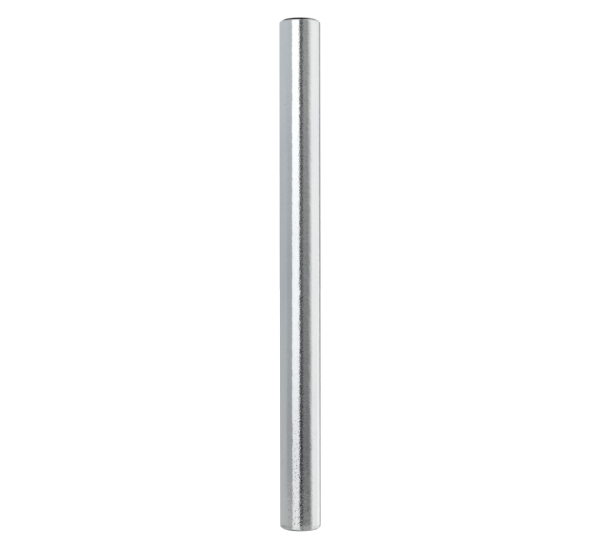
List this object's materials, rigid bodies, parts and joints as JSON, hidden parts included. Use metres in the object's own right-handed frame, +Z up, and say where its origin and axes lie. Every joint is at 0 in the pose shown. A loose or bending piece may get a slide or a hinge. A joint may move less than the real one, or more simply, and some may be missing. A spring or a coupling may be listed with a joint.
{
  "type": "threaded pipe nipple",
  "caption": "Straight zinc-coated steel pipe nipple with a smooth outside, chamfered rims, a through bore and a right-hand internal thread in each end.",
  "frame": {"origin": "centre of the lower end face, on the pipe's axis", "axes": "+Z up along the pipe's axis, out of the upper mouth; the pipe is round, so X and Y are free"},
  "size_m": [0.0102, 0.0102, 0.127],
  "materials": {
    "zinc_coated_steel": "bright zinc coating, glossy, with a fine orange-peel grain"
  },
  "bodies": {
    "root": {"pipe": "zinc_coated_steel"}
  },
  "joints": []
}
